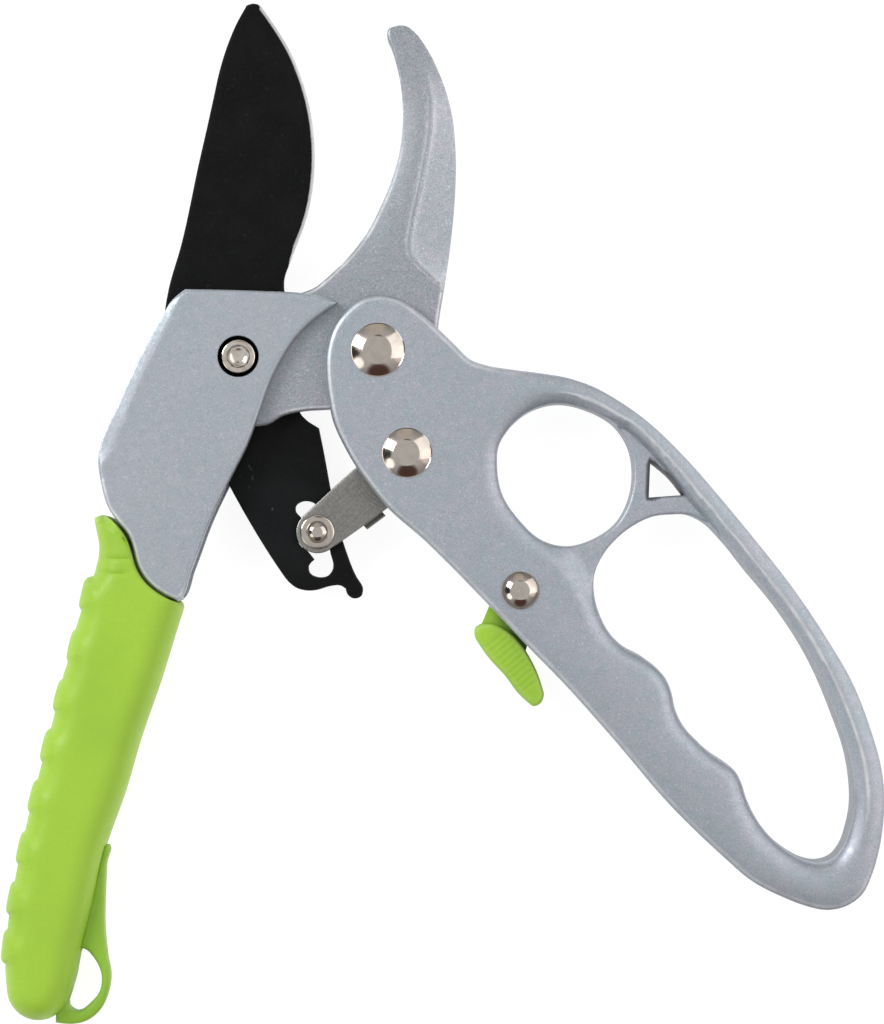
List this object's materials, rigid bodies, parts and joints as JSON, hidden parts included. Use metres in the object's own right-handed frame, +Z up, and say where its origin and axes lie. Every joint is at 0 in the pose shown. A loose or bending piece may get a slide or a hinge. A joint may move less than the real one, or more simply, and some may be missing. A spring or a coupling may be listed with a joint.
{
  "type": "pruning shears",
  "caption": "Bypass pruning shears with a ratchet link, a black curved blade, a hook, a green grip and a silver guard handle with a finger ring.",
  "frame": {"origin": "on the blade pivot's axis, in the plane that the shears lie on, at the rear end of the pivot bolt", "axes": "+X to the right across the jaws towards the guard handle, +Y towards the jaws' tips, +Z up from the plane the shears lie on, along every pivot axis"},
  "size_m": [0.1768, 0.205, 0.0162],
  "materials": {
    "silver_casting": "cast light alloy, painted silver with a fine metallic grain",
    "silver_hook": "cast, painted silver with a fine metallic grain",
    "black_steel": "steel with a black non-stick coat, ground bright along the edge",
    "link_steel": "satin steel",
    "nickel": "nickel plate, polished",
    "bronze": "plain turned bronze",
    "spring_steel": "spring wire",
    "green_grip": "soft moulded plastic, satin",
    "green_loop": "harder moulded plastic, satin",
    "green_catch": "moulded plastic, satin"
  },
  "bodies": {
    "left_frame": {"left_handle": "silver_casting", "hook": "silver_hook", "hook_dowel": "spring_steel", "grip": "green_grip", "hang_loop": "green_loop", "pivot_bolt": "nickel", "pivot_nut": "nickel", "pivot_bush": "bronze", "blade_washer": "bronze"},
    "blade": {"blade": "black_steel"},
    "guard": {"guard_handle": "silver_casting", "handle_rivet": "nickel", "handle_bush": "bronze", "return_spring": "spring_steel", "link_rivet": "nickel", "link_bush": "bronze", "link_spring": "spring_steel", "catch_rivet": "nickel", "catch_washer": "spring_steel"},
    "link": {"link": "link_steel", "ratchet_pin": "nickel"},
    "catch": {"lock_catch": "green_catch"}
  },
  "joints": [
    {"name": "handle_pivot", "type": "hinge", "parent": "left_frame", "child": "guard", "pos_m": [0.0278, 0.0013, 0.0081], "axis": [0, 0, -1], "range_deg": [0, 50], "stiffness_Nm_per_rad": 0.8, "springref_deg": -28.65},
    {"name": "blade_pivot", "type": "hinge", "parent": "left_frame", "child": "blade", "pos_m": [0, 0, 0.0063], "axis": [0, 0, -1], "range_deg": [0, 25.5]},
    {"name": "link_pivot", "type": "hinge", "parent": "guard", "child": "link", "pos_m": [0.0336, -0.0192, 0.0063], "axis": [0, 0, -1], "range_deg": [-52.5, 0]},
    {"name": "catch_pivot", "type": "hinge", "parent": "guard", "child": "catch", "pos_m": [0.0562, -0.0466, 0.0077], "axis": [0, 0, -1], "range_deg": [0, 16]}
  ],
  "couplings": [
    {"joint": "blade_pivot", "follows": "handle_pivot", "ratio": 0.51},
    {"joint": "link_pivot", "follows": "handle_pivot", "ratio": -1.05}
  ]
}
